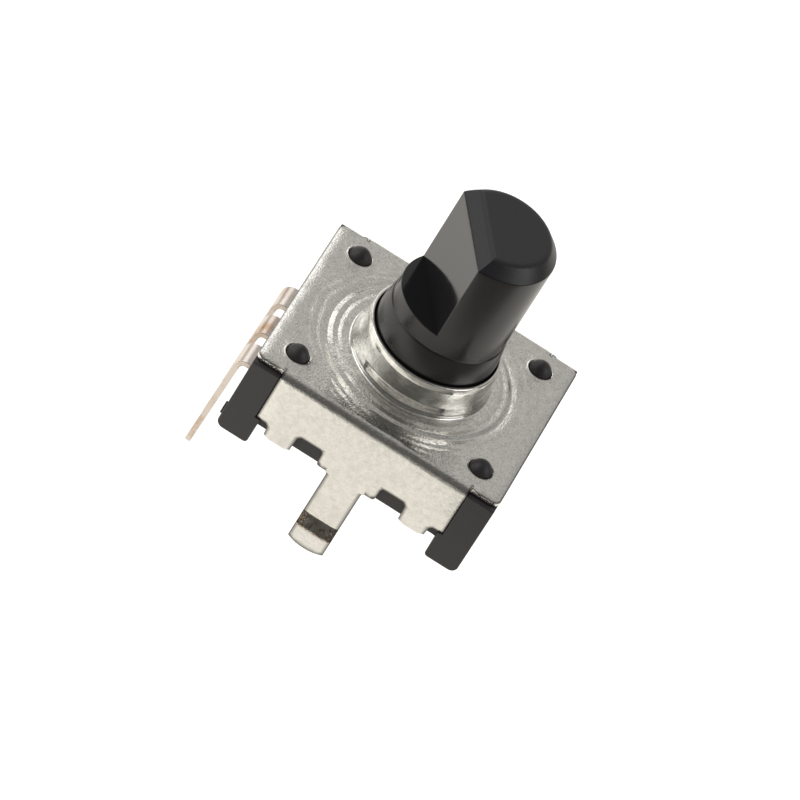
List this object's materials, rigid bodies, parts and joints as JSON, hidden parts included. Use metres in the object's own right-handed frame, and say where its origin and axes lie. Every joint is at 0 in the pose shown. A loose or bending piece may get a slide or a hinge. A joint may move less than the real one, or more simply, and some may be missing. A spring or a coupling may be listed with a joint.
{
  "type": "rotary encoder",
  "caption": "Board-mounted rotary encoder: square steel cover with drawn collar and snap legs over a moulded housing, side terminals, and a free-turning plastic D shaft.",
  "frame": {"origin": "on the shaft's axis, in the plane of the board that the housing's feet stand on", "axes": "+Z along the shaft, away from the board; -X is the side that the terminals leave from; -Y and +Y are the flanged sides with the snap legs"},
  "size_m": [0.0145, 0.0132, 0.0198],
  "materials": {
    "cover_steel": "bright plated, drawn",
    "housing_black": "matte moulded",
    "shaft_black": "glossy moulded",
    "terminal_tinned": "thin tin over copper alloy, stained near the body",
    "spring_bronze": "rolled",
    "contact_silver": "silver clad",
    "rotor_natural": "moulded, natural colour"
  },
  "bodies": {
    "frame": {"cover": "cover_steel", "housing": "housing_black", "click_spring": "spring_bronze", "terminal_a": "terminal_tinned", "terminal_b": "terminal_tinned", "terminal_c": "terminal_tinned", "brush_a": "contact_silver", "brush_b": "contact_silver", "brush_c": "contact_silver"},
    "spindle": {"shaft": "shaft_black", "rotor": "rotor_natural", "code_plate": "contact_silver", "thrust_washer": "rotor_natural"}
  },
  "joints": [
    {"name": "shaft_spin", "type": "hinge", "parent": "frame", "child": "spindle", "pos_m": [0, 0, 0.005], "axis": [0, 0, 1], "continuous": true}
  ]
}
